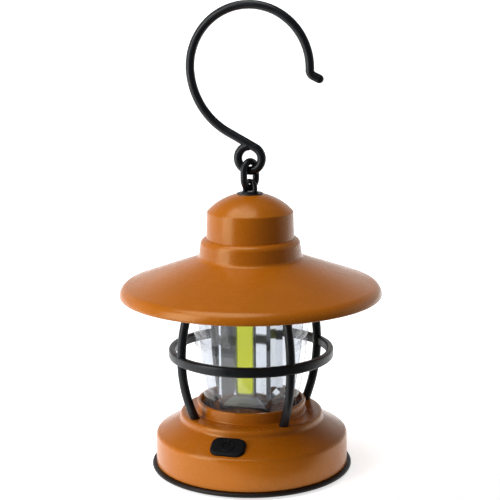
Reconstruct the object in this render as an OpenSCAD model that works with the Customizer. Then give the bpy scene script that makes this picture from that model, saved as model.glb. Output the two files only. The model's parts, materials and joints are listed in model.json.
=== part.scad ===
// Small hanging lantern: a pressed shade and crown, a clear chimney in a four-rib cage,
// a mirrored light column, a battery base with a twist-off cover, and a wire hook on a link.
// Millimetres, +Z up. The origin is the middle of the circle that the lantern stands on.
// The push button faces -Y.

/* [Shade] */
// Radius of the shade's rim
shade_r = 44; // [42:0.5:48]
// Height of the bottom of the shade's rim
rim_z = 60; // [58.5:0.25:61]
// Slope of the shade's skirt, degrees below horizontal
skirt_slope = 19.9; // [18.5:0.1:21]
// Thickness of the painted sheet
sheet_t = 1.2; // [0.9:0.1:1.3]

/* [Crown] */
// Radius of the band above the skirt
band_r = 17.2; // [17:0.1:17.8]
// Radius of the crown's cylinder
crown_r = 14.7; // [14.4:0.1:15]
// Height where the crown's wall meets its dome
crease_z = 88.3; // [88:0.1:88.6]
// Radius of the dome's sphere
dome_r = 19.6; // [19.4:0.1:20]

/* [Base] */
// Radius of the base drum
base_r = 32.7; // [32.5:0.1:33]
// Height of the ledge that the cage stands on
ledge_z = 19.8; // [19.7:0.1:20.2]
// Thickness of the base shell
shell_t = 1.6; // [1.4:0.1:1.7]
// Outer radius of the rubber ring round the foot
rim_ring_r = 34.1; // [33.8:0.1:34.6]

/* [Cage] */
// Outer radius of the guard ring
guard_r = 27.9; // [27.7:0.1:28.4]
// Radius of each rib's rod
rib_rod_r = 1.5; // [1.3:0.05:1.6]

/* [Chimney] */
// Largest outer radius of the clear chimney
lens_r = 19.8; // [19.5:0.1:19.9]
// Wall of the clear chimney
lens_t = 1.8; // [1.4:0.1:2]

/* [Button] */
// Width of the push button
button_w = 11.5; // [10.5:0.1:11.8]
// Length of the push button along the slope
button_h = 7.4; // [7.2:0.1:7.7]
// How far the push button travels
button_travel = 0.8; // [0.5:0.1:0.8]

/* [Hook] */
// Radius of the hook's wire
hook_wire_r = 1.45; // [1.3:0.05:1.5]
// Centreline radius of the hook's bow
bow_r = 20.3; // [19.5:0.1:21]
// Centreline radius of the hook's eye
eye_r = 4.05; // [4:0.05:4.1]
// Radius of the link's wire
link_wire_r = 1.15; // [1.05:0.05:1.2]

/* [Hidden] */
$fn = 96;
gap = 0.1;
run_gap = 0.05;

// Shade and crown
rim_bend_r = 3.8;
rim_c = [shade_r - rim_bend_r, rim_z + 0.45];
rim_lip_a = 3;
skirt_up = 90 - skirt_slope;
skirt_p = rim_c + rim_bend_r * [cos(skirt_up), sin(skirt_up)];
band_fillet_r = 1.5;
band_top = [16.75, 77.3];
shoulder_r = band_top[0] - crown_r;
dome_c_z = crease_z - sqrt(dome_r * dome_r - 14.4 * 14.4);
crown_top_r = 14.4;
grommet_r = 4.45;
grommet_z = dome_c_z + sqrt(dome_r * dome_r - grommet_r * grommet_r);
sleeve_r = 2.6;
post_r = 2.4;
post_pitch_r = 12.6;

// Base drum
wall_foot_z = 2.1;
wall_top_r = base_r - 0.15;
cone_slope = 29.8;
cone_corner_z = 12.6;
wall_bend_r = 1.0;
step_r = 24.3;
step_round = 1.3;
step_foot_r = 1.0;
collar_r = 18.4;
collar_in_r = 17.2;
collar_top_z = 23.7;
floor_z = 21.0;
ceiling_z = 18.7;
floor_hole_r = 2.9;
tab_z = 3.9;
tab_h = 1.2;
tab_in_r = 29.5;
tab_half_a = 18;
lug_half_a = 16;
cover_turn = 40;
stop_half_a = 1.2;
cover_r = 31.4;
cover_top_z = 2.0;
groove_r = 30.7;
groove_z = [1.0, 1.7];
bead_z = [0.6, 2.05];

// Cage: each rib is an arc about a point behind the lantern's axis
rib_arc_r = 48.9;
rib_arc_c = [-22.6, 40.7];
rib_foot_a = -28;
rib_top_a = 20.1;
rib_a = [45, 135, 225, 315];
rib_foot_r = 21.85;
rib_top_r = 23.3;
guard_z = 38.7;
guard_h = 3.3;
guard_t = 2.2;
top_ring_z = 56.4;
top_ring_h = 2.1;
top_ring_r = [21.7, 24.9];

// Plate under the crown
plate_z = 58.6;
plate_t = 1.6;
plate_r = 27;

// Chimney
lens_z = 21.8;
lens_top_z = 58.4;
lens_sweep_r = 171.5;
lens_wide_z = 60;

// Light column: a square with narrow flats along its corners and a shallow trough in each face
face_d = 8.95;
face_half = 8.0;
trough_depth = 1.2;
trough_floor_half = 3.9;
trough_z = [22.8, 26.4, 55.0, 57.5];
column_top_z = 58.4;
core_half = 6.0;
cob_w = 5.8;
cob_z = [26.95, 54.85];
board_t = 1.0;

// Push button, in the frame of the shoulder's slope at the button's centre
button_pitch_r = 27.9;
button_z = cone_corner_z + (wall_top_r - button_pitch_r) * tan(cone_slope);
button_corner = 2.8;
button_proud = 0.9;
pad_depth = 0.9;
pad_z = 0.05 + button_travel - pad_depth;
stem_w = 9.3;
stem_h = 5.3;
flange_w = 11.0;
flange_h = 6.8;
flange_top = -2.3;
flange_t = 0.7;
plunger_r = 1.2;
switch_w = 5.2;
switch_top = -3.95;
switch_t = 1.5;
switch_board_w = 18;
switch_board_h = 7;
switch_board_t = 0.8;
switch_post_x = 7.8;
switch_post_r = 1.1;

// Leads
lead_r = 0.55;
battery_lead_r = 0.35;

// Battery tray: three AAA cells side by side along X
cell_r = 5.25;
cell_l = 44.5;
cell_pitch = 10.7;
cell_z = 8.9;
nub_r = 1.9;
nub_l = 0.9;
tray_in_x = 24.0;
tray_wall = 1.3;
tray_y = 16.9;
tray_z = 3.2;
tray_top_z = 15.4;
plate_metal_t = 0.4;
spring_wire_r = 0.3;
spring_turns = 3;
spring_r = [3.0, 1.6];
pcb_r = 18.8;
pcb_z = 16.3;
pcb_t = 1.0;

// Hook, link and swivelling eye
loop_z = 96.15;
loop_wire_r = 0.85;
loop_r = link_wire_r + loop_wire_r + 0.15;
loop_turn = -25;
shank_r = 1.5;
head_r = 2.9;
head_z = 94.5;
head_t = 0.35;
link_half_w = 3.04;
link_top_z = 104.9;
hook_play = 0.45;
hook_eye_z = link_top_z - link_wire_r - hook_play - hook_wire_r + eye_r;
stem_a = 27.9;
bow_c = [0, 135.6];
bow_join_a = 185;
bow_end_a = -1.5;
tip_bend_r = 2.0;
tip_l = 2.2;
tip_a = 25;
eye_end_a = 92;

// ---- Shared shapes ----

function arc(c, r, a0, a1, n) = [for (i = [0 : n]) c + r * [cos(a0 + (a1 - a0) * i / n), sin(a0 + (a1 - a0) * i / n)]];
function skirt_z(r) = skirt_p[1] + (skirt_p[0] - r) * tan(skirt_slope);
function cone_z(r) = cone_corner_z + (wall_top_r - r) * tan(cone_slope);
function lens_out(z) = lens_r - lens_sweep_r + sqrt(lens_sweep_r * lens_sweep_r - (lens_wide_z - z) * (lens_wide_z - z));

module rounded_rect(w, h, r) {
  square([w - 2 * r, h], center = true);
  square([w, h - 2 * r], center = true);
  for (x = [-1, 1], y = [-1, 1]) translate([x * (w / 2 - r), y * (h / 2 - r)]) circle(r);
}

module ring(r_in, r_out, z, h) {
  translate([0, 0, z]) difference() {
    cylinder(r = r_out, h = h);
    translate([0, 0, -1]) cylinder(r = r_in, h = h + 2);
  }
}

// An arc of round wire in the XZ plane: centre, centreline radius, first and last angle
module wire_arc(c, r, a0, a1, wire) {
  translate([c[0], 0, c[1]]) rotate([90, 0, 0]) rotate([0, 0, a0]) rotate_extrude(angle = a1 - a0)
    translate([r, 0]) circle(wire);
}

// A straight piece of round wire in the XZ plane
module wire_line(p, q, wire) {
  d = q - p;
  translate([p[0], 0, p[1]]) rotate([0, atan2(d[0], d[1]), 0]) cylinder(r = wire, h = norm(d));
}

module screw(head_r, head_h, shank_r, shank_l) {
  cylinder(r = head_r, h = head_h);
  translate([0, 0, head_h]) cylinder(r = shank_r, h = shank_l);
}

// A flexible lead swept along points, as one closed polyhedron with flat ends
function unit(v) = v / norm(v);
function lead_dir(p, i) = unit(p[min(i + 1, len(p) - 1)] - p[max(i - 1, 0)]);
function lead_side(d) = unit(cross(d, abs(d[2]) > 0.9 ? [1, 0, 0] : [0, 0, 1]));
function lead_ring(p, i, r, n) =
  let (d = lead_dir(p, i), u = lead_side(d), v = cross(d, u))
    [for (k = [0 : n - 1]) p[i] + r * (cos(k * 360 / n) * u + sin(k * 360 / n) * v)];

module lead(p, r, n = 8) {
  last = len(p) - 1;
  pts = [for (i = [0 : last]) each lead_ring(p, i, r, n)];
  sides = [for (i = [0 : last - 1], k = [0 : n - 1])
    [i * n + k, i * n + (k + 1) % n, (i + 1) * n + (k + 1) % n, (i + 1) * n + k]];
  ends = [[for (k = [n - 1 : -1 : 0]) k], [for (k = [0 : n - 1]) last * n + k]];
  polyhedron(points = pts, faces = concat(sides, ends), convexity = 6);
}

// Puts children in the frame of the shoulder's slope: +Z outwards, +Y up the slope
module on_slope() {
  translate([0, -button_pitch_r, button_z]) rotate([cone_slope, 0, 0]) children();
}

// ---- Crown and shade ----

module shade() {
  outer = concat(
    arc(rim_c, rim_bend_r, rim_lip_a, skirt_up, 12),
    arc([band_r + band_fillet_r, skirt_z(band_r + band_fillet_r) + band_fillet_r / cos(skirt_slope)],
        band_fillet_r, 270 - skirt_slope, 180, 6),
    arc([crown_r, band_top[1]], shoulder_r, 0, 90, 8),
    arc([0, dome_c_z], dome_r, acos(crown_top_r / dome_r), acos(grommet_r / dome_r), 12)
  );
  in_r = dome_r - sheet_t;
  skirt_drop = sheet_t / cos(skirt_slope);
  inner = concat(
    [[sleeve_r, grommet_z], [sleeve_r, grommet_z - sheet_t]],
    arc([0, dome_c_z], in_r, acos((sleeve_r + 1.5) / in_r), acos((crown_top_r - sheet_t) / in_r), 8),
    [[crown_r - sheet_t, band_top[1] + shoulder_r - sheet_t]],
    arc([crown_r - sheet_t, band_top[1]], shoulder_r - sheet_t, 80, 0, 4),
    [[band_r - sheet_t - 1.1, skirt_z(band_r - sheet_t - 1.1) - skirt_drop]],
    arc(rim_c, rim_bend_r - sheet_t, skirt_up, rim_lip_a, 12),
    arc(rim_c + (rim_bend_r - sheet_t / 2) * [cos(rim_lip_a), sin(rim_lip_a)], sheet_t / 2, 175, 365, 6)
  );
  color([0.74, 0.42, 0.10]) {
    rotate_extrude($fn = 128) polygon(concat(outer, inner));
    for (a = [30, 150, 270]) rotate([0, 0, a]) {
      difference() {
        translate([post_pitch_r, 0, plate_z + plate_t + gap]) cylinder(r = post_r, h = 17);
        translate([post_pitch_r, 0, plate_z]) cylinder(r = 0.8, h = 10);
      }
      translate([post_pitch_r + 1.5, -0.9, 64]) cube([2.7, 1.8, 12]);
    }
  }
}

module crown_plate() {
  color([0.86, 0.86, 0.84]) difference() {
    union() {
      translate([0, 0, plate_z]) cylinder(r = plate_r, h = plate_t);
      ring(plate_r - 1.4, plate_r, plate_z + plate_t, 1.6);
    }
    for (a = [30, 150, 270]) rotate([0, 0, a]) translate([post_pitch_r, 0, plate_z - 1])
      cylinder(r = 1.0, h = 4);
    for (a = rib_a) rotate([0, 0, a]) translate([rib_top_r, 0, plate_z - 1]) cylinder(r = 0.9, h = 4);
  }
}

module plate_screws() {
  color([0.55, 0.55, 0.57]) for (a = [30, 150, 270]) rotate([0, 0, a])
    translate([post_pitch_r, 0, plate_z - 1.1]) screw(1.8, 1.1, 0.78, 7);
}

// ---- Eye, link and hook ----

module eye_grommet() {
  color([0.07, 0.07, 0.08]) rotate_extrude() polygon(concat(
    [[shank_r + run_gap, grommet_z - sheet_t], [sleeve_r - gap, grommet_z - sheet_t],
     [sleeve_r - gap, grommet_z], [grommet_r - 0.1, grommet_z]],
    arc([grommet_r - 0.25, grommet_z + 0.15], 0.25, 0, 90, 4),
    [[shank_r + run_gap, head_z - run_gap]]
  ));
}

module eye_washer() {
  color([0.6, 0.6, 0.62]) ring(shank_r + run_gap, 4, grommet_z - sheet_t - 0.6, 0.5);
}

module eye_nut() {
  color([0.6, 0.6, 0.62]) translate([0, 0, grommet_z - sheet_t - 2.9]) difference() {
    cylinder(r = 3, h = 2.2, $fn = 6);
    translate([0, 0, -1]) cylinder(r = shank_r + 0.02, h = 4.2);
  }
}

module top_eye() {
  color([0.07, 0.07, 0.08]) rotate([0, 0, loop_turn]) {
    wire_arc([0, loop_z], loop_r, 0, 180, loop_wire_r);
    for (x = [-1, 1]) translate([x * loop_r, 0, head_z + head_t / 2])
      cylinder(r = loop_wire_r, h = loop_z - head_z - head_t / 2);
    translate([0, 0, head_z]) cylinder(r = head_r, h = head_t);
    translate([0, 0, grommet_z - sheet_t - 3.6]) cylinder(r = shank_r, h = head_z - grommet_z + sheet_t + 3.8);
  }
}

module chain_link() {
  low = loop_z + link_half_w;
  high = link_top_z - link_half_w;
  color([0.07, 0.07, 0.08]) rotate([0, 0, 90 + loop_turn]) {
    wire_arc([0, high], link_half_w, 0, 180, link_wire_r);
    wire_arc([0, low], link_half_w, 180, 360, link_wire_r);
    for (x = [-1, 1]) translate([x * link_half_w, 0, low]) cylinder(r = link_wire_r, h = high - low);
  }
}

// The bow's last stretch, before the stem, opens to a wider arc that runs on into the straight stem
function stem_n() = [sin(stem_a), cos(stem_a)];
function stem_start() = [0, hook_eye_z] + eye_r * stem_n();
function bow_pull() = -(stem_n() * [cos(bow_join_a), sin(bow_join_a)]);
function sweep_r() = ((bow_c - stem_start()) * stem_n() - bow_pull() * bow_r) / (1 - bow_pull());
function sweep_c() = bow_c - (sweep_r() - bow_r) * [cos(bow_join_a), sin(bow_join_a)];
function stem_end() = sweep_c() - sweep_r() * stem_n();
function bow_join() = bow_c + bow_r * [cos(bow_join_a), sin(bow_join_a)];
function bow_end() = bow_c + bow_r * [cos(bow_end_a), sin(bow_end_a)];
function tip_c() = bow_end() + tip_bend_r * [cos(bow_end_a), sin(bow_end_a)];
function tip_start() = tip_c() - tip_bend_r * [sin(tip_a), cos(tip_a)];
function tip_end() = tip_start() + tip_l * [cos(tip_a), -sin(tip_a)];

module hook() {
  color([0.07, 0.07, 0.08]) {
    wire_arc([0, hook_eye_z], eye_r, eye_end_a - 360, 90 - stem_a, hook_wire_r);
    wire_line(stem_start(), stem_end(), hook_wire_r);
    wire_arc(sweep_c(), sweep_r(), bow_join_a, 270 - stem_a, hook_wire_r);
    wire_arc(bow_c, bow_r, bow_end_a, bow_join_a, hook_wire_r);
    wire_arc(tip_c(), tip_bend_r, 180 + bow_end_a, 270 - tip_a, hook_wire_r);
    wire_line(tip_start(), tip_end(), hook_wire_r);
    translate([tip_end()[0], 0, tip_end()[1]]) sphere(hook_wire_r + 0.02);
    for (p = [stem_start(), stem_end(), bow_join(), bow_end(), tip_start()])
      translate([p[0], 0, p[1]]) sphere(hook_wire_r + 0.02);
  }
}

// ---- Cage and chimney ----

module cage() {
  color([0.09, 0.10, 0.11]) difference() {
    union() {
      translate([0, 0, guard_z + guard_h / 2]) rotate_extrude() translate([guard_r - guard_t / 2, 0])
        rounded_rect(guard_t, guard_h, 0.7);
      ring(top_ring_r[0], top_ring_r[1], top_ring_z, top_ring_h);
      for (a = rib_a) rotate([0, 0, a]) wire_arc(rib_arc_c, rib_arc_r, rib_foot_a, rib_top_a, rib_rod_r);
    }
    translate([0, 0, ledge_z - 10]) cylinder(r = 40, h = 10);
    for (a = rib_a) rotate([0, 0, a]) translate([rib_foot_r, 0, ledge_z - 1]) cylinder(r = 0.72, h = 3.4);
    for (a = rib_a) rotate([0, 0, a]) translate([rib_top_r, 0, top_ring_z + 0.5]) cylinder(r = 0.72, h = 3);
  }
}

module cage_screws() {
  color([0.55, 0.55, 0.57]) for (a = rib_a) rotate([0, 0, a]) {
    translate([rib_foot_r, 0, ceiling_z - 0.9]) screw(1.2, 0.9, 0.7, ledge_z - ceiling_z + 2);
    translate([rib_top_r, 0, plate_z + plate_t + 0.9]) rotate([180, 0, 0]) screw(1.5, 0.9, 0.7, 3.1);
  }
}

module lens() {
  n = 14;
  zs = [for (i = [0 : n]) lens_z + (lens_top_z - lens_z) * i / n];
  color([0.85, 0.90, 0.92, 0.35]) rotate_extrude($fn = 128) polygon(concat(
    [for (z = zs) [lens_out(z), z]],
    [for (i = [n : -1 : 0]) [lens_out(zs[i]) - lens_t, zs[i]]]
  ));
}

module lens_gasket() {
  color([0.12, 0.12, 0.13]) ring(lens_out(lens_z) - 2.2, lens_out(lens_z) + 0.6, floor_z, lens_z - floor_z);
}

module lens_top_seal() {
  color([0.12, 0.12, 0.13]) ring(lens_out(lens_top_z) - 2.4, lens_out(lens_top_z), lens_top_z, plate_z - lens_top_z);
}

// ---- Light column ----

module trough() {
  z = trough_z;
  d = face_d + gap;
  deep = face_d - trough_depth;
  polyhedron(
    points = [
      [-face_half, d, z[0]], [face_half, d, z[0]], [face_half, d, z[3]], [-face_half, d, z[3]],
      [-trough_floor_half, deep, z[1]], [trough_floor_half, deep, z[1]],
      [trough_floor_half, deep, z[2]], [-trough_floor_half, deep, z[2]]
    ],
    faces = [[0, 1, 2, 3], [7, 6, 5, 4], [4, 5, 1, 0], [5, 6, 2, 1], [6, 7, 3, 2], [7, 4, 0, 3]]
  );
}

module reflector() {
  outline = [for (q = [0 : 3]) each [
    [face_half * cos(q * 90) - face_d * sin(q * 90), face_half * sin(q * 90) + face_d * cos(q * 90)],
    [-face_half * cos(q * 90) - face_d * sin(q * 90), -face_half * sin(q * 90) + face_d * cos(q * 90)]
  ]];
  hole = core_half + gap;
  color([0.82, 0.84, 0.86]) difference() {
    translate([0, 0, floor_z]) linear_extrude(column_top_z - floor_z) polygon(outline);
    translate([-hole, -hole, floor_z - 1]) cube([2 * hole, 2 * hole, column_top_z - floor_z + 2]);
    for (q = [0 : 3]) rotate([0, 0, q * 90]) trough();
    for (s = [0, 180]) rotate([0, 0, s]) translate([-cob_w / 2 - gap / 2, 0, cob_z[0] - gap / 2])
      cube([cob_w + gap, 20, cob_z[1] - cob_z[0] + gap]);
  }
}

module led_core() {
  color([0.72, 0.73, 0.75]) difference() {
    translate([-core_half, -core_half, floor_z]) cube([2 * core_half, 2 * core_half, column_top_z - floor_z]);
    translate([0, 0, floor_z - 1]) cylinder(r = 2.6, h = column_top_z - floor_z + 2);
    for (x = [-1, 1]) translate([x * 4.2, 0, floor_z - 1]) cylinder(r = 0.75, h = 8);
  }
}

module core_screws() {
  color([0.55, 0.55, 0.57]) for (x = [-1, 1]) translate([x * 4.2, 0, ceiling_z - 0.8]) screw(1.3, 0.8, 0.7, 6.5);
}

module cob_board() {
  color([0.90, 0.92, 0.86]) translate([-cob_w / 2, core_half + 0.02, cob_z[0]])
    cube([cob_w, board_t, cob_z[1] - cob_z[0]]);
}

module phosphor() {
  y = core_half + 0.02 + board_t;
  color([0.76, 0.80, 0.28]) translate([0, y, (cob_z[0] + cob_z[1]) / 2]) rotate([-90, 0, 0])
    linear_extrude(face_d - trough_depth - y + 0.15) rounded_rect(cob_w - 0.8, cob_z[1] - cob_z[0] - 1, 0.8);
}

module cob_board_front() { rotate([0, 0, 180]) cob_board(); }
module cob_board_rear() { cob_board(); }
module phosphor_front() { rotate([0, 0, 180]) phosphor(); }
module phosphor_rear() { phosphor(); }

// ---- Base ----

module base_profile() {
  inner_wall_r = wall_top_r - shell_t;
  drop = shell_t / cos(cone_slope);
  bend_c = [wall_top_r - wall_bend_r, cone_z(wall_top_r - wall_bend_r) - wall_bend_r / cos(cone_slope)];
  step_foot_z = cone_z(step_r + step_foot_r) + step_foot_r / cos(cone_slope);
  polygon(concat(
    [[base_r, wall_foot_z]],
    arc(bend_c, wall_bend_r, 0, 90 - cone_slope, 6),
    arc([step_r + step_foot_r, step_foot_z], step_foot_r, 270 - cone_slope, 180, 5),
    arc([step_r - step_round, ledge_z - step_round], step_round, 0, 90, 6),
    [[collar_r + 0.3, ledge_z], [collar_r, ledge_z + 0.3]],
    arc([collar_r - 0.5, collar_top_z - 0.5], 0.5, 0, 90, 5),
    arc([collar_in_r + 0.3, collar_top_z - 0.3], 0.3, 90, 180, 4),
    [[collar_in_r, floor_z], [floor_hole_r, floor_z], [floor_hole_r, ceiling_z],
     [step_r - shell_t, ceiling_z], [step_r - shell_t, cone_z(step_r - shell_t) - drop],
     [inner_wall_r, cone_z(inner_wall_r) - drop], [inner_wall_r + 0.1, wall_foot_z]]
  ));
}

// A block that follows the drum's wall: inner and outer radius, height, and half its angle
module wall_block(r_in, r_out, z, h, half_a) {
  rotate([0, 0, -half_a]) translate([0, 0, z]) rotate_extrude(angle = 2 * half_a)
    translate([r_in, 0]) square([r_out - r_in, h]);
}

module base_shell() {
  tab_out_r = wall_top_r - shell_t + 0.6;
  color([0.74, 0.42, 0.10]) {
    difference() {
      union() {
        rotate_extrude($fn = 128) base_profile();
        for (x = [-1, 1]) on_slope() translate([x * switch_post_x, 0, switch_top - switch_t])
          cylinder(r = switch_post_r, h = -switch_top + switch_t - 1.4);
      }
      on_slope() translate([0, 0, -pad_depth]) linear_extrude(4)
        rounded_rect(button_w + 0.2, button_h + 0.2, button_corner + 0.1);
      on_slope() translate([0, 0, -3]) linear_extrude(4) rounded_rect(stem_w + 0.3, stem_h + 0.3, 2.15);
      for (a = rib_a) rotate([0, 0, a]) translate([rib_foot_r, 0, ceiling_z - 3]) {
        cylinder(r = 0.8, h = 6);
        cylinder(r = 1.3, h = 3);
      }
      for (x = [-1, 1]) translate([x * 4.2, 0, ceiling_z - 1]) cylinder(r = 0.8, h = 4);
      for (x = [-1, 1]) on_slope() translate([x * switch_post_x, 0, switch_top - switch_t - 1])
        cylinder(r = 0.52, h = 3.2);
    }
    for (a = [90, 210, 330]) rotate([0, 0, a]) {
      wall_block(tab_in_r, tab_out_r, tab_z, tab_h, tab_half_a);
      for (c = [-tab_half_a, cover_turn + lug_half_a + stop_half_a + 1.5])
        rotate([0, 0, c]) wall_block(tab_in_r + 0.1, tab_out_r + 0.1, tab_z + 0.1, 2.9, stop_half_a);
    }
  }
}

// ---- Push button and switch ----

module push_button() {
  color([0.06, 0.07, 0.09]) on_slope() {
    translate([0, 0, pad_z]) linear_extrude(button_proud - 0.3 - pad_z)
      rounded_rect(button_w, button_h, button_corner);
    translate([0, 0, button_proud - 0.3]) linear_extrude(0.3)
      rounded_rect(button_w - 1, button_h - 1, button_corner - 0.5);
    translate([0, 0, flange_top]) linear_extrude(pad_z - flange_top + 0.2) rounded_rect(stem_w, stem_h, 2);
    translate([0, 0, flange_top - flange_t]) linear_extrude(flange_t) rounded_rect(flange_w, flange_h, 2.5);
    translate([0, 0, button_proud - 0.1]) power_mark();
  }
}

// The plain circle-and-bar sign of an on/off button, raised from the rubber
module power_mark() {
  mark_r = 2.1;
  mark_w = 0.5;
  linear_extrude(0.3) {
    difference() {
      circle(mark_r);
      circle(mark_r - mark_w);
      translate([-0.8, 0]) square([1.6, mark_r + 1]);
    }
    translate([-mark_w / 2, 0.3]) square([mark_w, mark_r]);
  }
}

module switch_plunger() {
  color([0.2, 0.2, 0.22]) on_slope() translate([0, 0, switch_top - 0.35])
    cylinder(r = plunger_r, h = flange_top - flange_t - switch_top + 0.35);
}

module switch_body() {
  color([0.62, 0.63, 0.65]) on_slope() difference() {
    translate([-switch_w / 2, -switch_w / 2, switch_top - switch_t]) cube([switch_w, switch_w, switch_t]);
    translate([0, 0, switch_top - switch_t + 0.25]) cylinder(r = plunger_r + run_gap, h = switch_t);
  }
}

module switch_board() {
  color([0.10, 0.32, 0.18]) on_slope() translate([0, 0, switch_top - switch_t - switch_board_t]) difference() {
    translate([-switch_board_w / 2, -switch_board_h / 2, 0]) cube([switch_board_w, switch_board_h, switch_board_t]);
    for (x = [-1, 1]) translate([x * switch_post_x, 0, -1]) cylinder(r = 0.6, h = 3);
  }
}

module switch_screws() {
  color([0.55, 0.55, 0.57]) for (x = [-1, 1]) on_slope()
    translate([x * switch_post_x, 0, switch_top - switch_t - switch_board_t - 0.6]) screw(0.95, 0.6, 0.5, 2.6);
}

// ---- Circuit board ----

module circuit_board() {
  color([0.10, 0.32, 0.18]) difference() {
    translate([0, 0, pcb_z]) cylinder(r = pcb_r, h = pcb_t);
    for (a = [0, 120, 240]) rotate([0, 0, a]) translate([16.5, 0, pcb_z - 1]) cylinder(r = 0.9, h = 3);
  }
}

module driver_chip() {
  color([0.10, 0.10, 0.10]) translate([4, 4, pcb_z + pcb_t]) cube([5, 4, 0.9]);
  color([0.10, 0.10, 0.10]) translate([-9, 6, pcb_z + pcb_t]) cube([3, 1.6, 0.7]);
  color([0.10, 0.10, 0.10]) translate([-9, -8, pcb_z + pcb_t]) cube([3, 1.6, 0.7]);
}

module board_screws() {
  color([0.55, 0.55, 0.57]) for (a = [0, 120, 240]) rotate([0, 0, a]) {
    translate([16.5, 0, pcb_z - 0.7]) screw(1.5, 0.7, 0.75, ceiling_z - pcb_z - gap);
  }
}

// ---- Battery tray and cells ----

module tray_space() {
  rotate_extrude() polygon([
    [0, tray_z], [27.5, tray_z], [27.5, 7.2], [30.3, 7.2], [30.3, cone_z(30.3) - 2.6],
    [22.8, cone_z(22.8) - 2.6], [22.8, tray_top_z], [0, tray_top_z]
  ]);
}

module battery_tray() {
  out_x = tray_in_x + tray_wall;
  color([0.12, 0.12, 0.13]) difference() {
    intersection() {
      translate([-out_x, -tray_y, tray_z]) cube([2 * out_x, 2 * tray_y, tray_top_z - tray_z]);
      tray_space();
    }
    for (k = [-1 : 1]) translate([0, k * cell_pitch, 0]) {
      translate([-tray_in_x, 0, cell_z]) rotate([0, 90, 0]) cylinder(r = cell_r + 0.1, h = 2 * tray_in_x);
      translate([-tray_in_x, -cell_r - 0.05, tray_z - 1]) cube([2 * tray_in_x, 2 * cell_r + 0.1, cell_z - tray_z + 1]);
    }
    for (x = [-1, 1], y = [-1, 1]) translate([x * 19, y * cell_pitch / 2, tray_top_z - 0.7]) cylinder(r = 0.7, h = 2);
    for (x = [-1, 1]) translate([x * (tray_in_x - 0.35) - 0.35, -13.9, tray_z - 1]) cube([0.7, 27.8, 9.3]);
    for (s = [0, 180]) rotate([0, 0, s]) translate([20.2, cell_pitch - 1.5, cell_z + 2]) cube([10, 2.2, 10]);
  }
}

module tray_screws() {
  color([0.55, 0.55, 0.57]) for (x = [-1, 1], y = [-1, 1])
    translate([x * 19, y * cell_pitch / 2, tray_top_z - 0.65]) cylinder(r = 0.65, h = ceiling_z - tray_top_z + 0.6);
}

// A cell along X. way = 1 puts its positive end at +X
module cell(k, way) {
  translate([0, k * cell_pitch, cell_z]) rotate([0, 0, way > 0 ? 0 : 180]) {
    translate([tray_in_x - plate_metal_t - gap - cell_l, 0, 0]) rotate([0, 90, 0])
      cylinder(r = cell_r, h = cell_l - nub_l);
    translate([tray_in_x - plate_metal_t - gap - nub_l, 0, 0]) rotate([0, 90, 0])
      cylinder(r = nub_r, h = nub_l);
  }
}

module battery_cell_1() { color([0.20, 0.35, 0.55]) cell(-1, 1); }
module battery_cell_2() { color([0.20, 0.35, 0.55]) cell(0, -1); }
module battery_cell_3() { color([0.20, 0.35, 0.55]) cell(1, 1); }

// Two single plates and two that bridge neighbouring cells in series
module contact_plates() {
  h = 5;
  w = 6;
  color([0.78, 0.77, 0.72]) {
    translate([tray_in_x - plate_metal_t, -cell_pitch - w / 2, cell_z - h / 2]) cube([plate_metal_t - 0.02, w + cell_pitch, h]);
    translate([tray_in_x - plate_metal_t, cell_pitch - w / 2, cell_z - h / 2]) cube([plate_metal_t - 0.02, w, h]);
    translate([-tray_in_x + 0.02, -cell_pitch - w / 2, cell_z - h / 2]) cube([plate_metal_t - 0.02, w, h]);
    translate([-tray_in_x + 0.02, -w / 2, cell_z - h / 2]) cube([plate_metal_t - 0.02, w + cell_pitch, h]);
  }
}

module contact_spring() {
  l = 2 * tray_in_x - 2 * plate_metal_t - gap - cell_l - 2 * spring_wire_r - 0.1;
  steps = 14 * spring_turns;
  lead([for (i = [0 : steps])
    let (f = i / steps, r = spring_r[0] + (spring_r[1] - spring_r[0]) * f)
      [spring_wire_r + 0.05 + l * f, r * cos(360 * spring_turns * f), r * sin(360 * spring_turns * f)]
  ], spring_wire_r, 6);
}

module contact_springs() {
  color([0.78, 0.77, 0.72]) for (k = [-1 : 1]) translate([0, k * cell_pitch, cell_z])
    rotate([0, 0, k == 0 ? 180 : 0]) translate([-tray_in_x + plate_metal_t, 0, 0]) contact_spring();
}

// ---- Leads ----

// From each end of the row of cells, over the tray and onto the circuit board
module battery_lead() {
  lead([
    [23.1, 10.7, 13.0], [23.05, 10.65, 13.9], [22.5, 10.6, 14.6], [21.2, 10.3, 15.4], [20.2, 9.9, 16.0],
    [19.0, 9.2, 16.9], [17.6, 8.7, 17.8], [16.0, 8.1, 18.1], [14.8, 7.7, 18.0], [14.1, 7.5, 17.7]
  ], battery_lead_r);
}

module battery_leads() {
  color([0.65, 0.10, 0.08]) battery_lead();
  color([0.08, 0.08, 0.08]) rotate([0, 0, 180]) battery_lead();
}

module switch_leads() {
  color([0.85, 0.85, 0.82]) for (x = [-3.2, 3.2])
    lead([[x, -21.2, 11.4], [x, -20.1, 12.5], [x, -19.3, 13.8], [x, -18.5, 15.0], [x, -17.6, 15.7]], 0.4);
}

module led_leads() {
  color([0.85, 0.85, 0.82]) for (x = [-1.1, 1.1])
    lead([[x, 0, pcb_z + pcb_t + 0.05], [x, 0, 22], [x, 0, 30], [x, 0, 40], [x, 0, 50], [x, 0, 56]], lead_r);
}

// ---- Bottom cover ----

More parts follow.
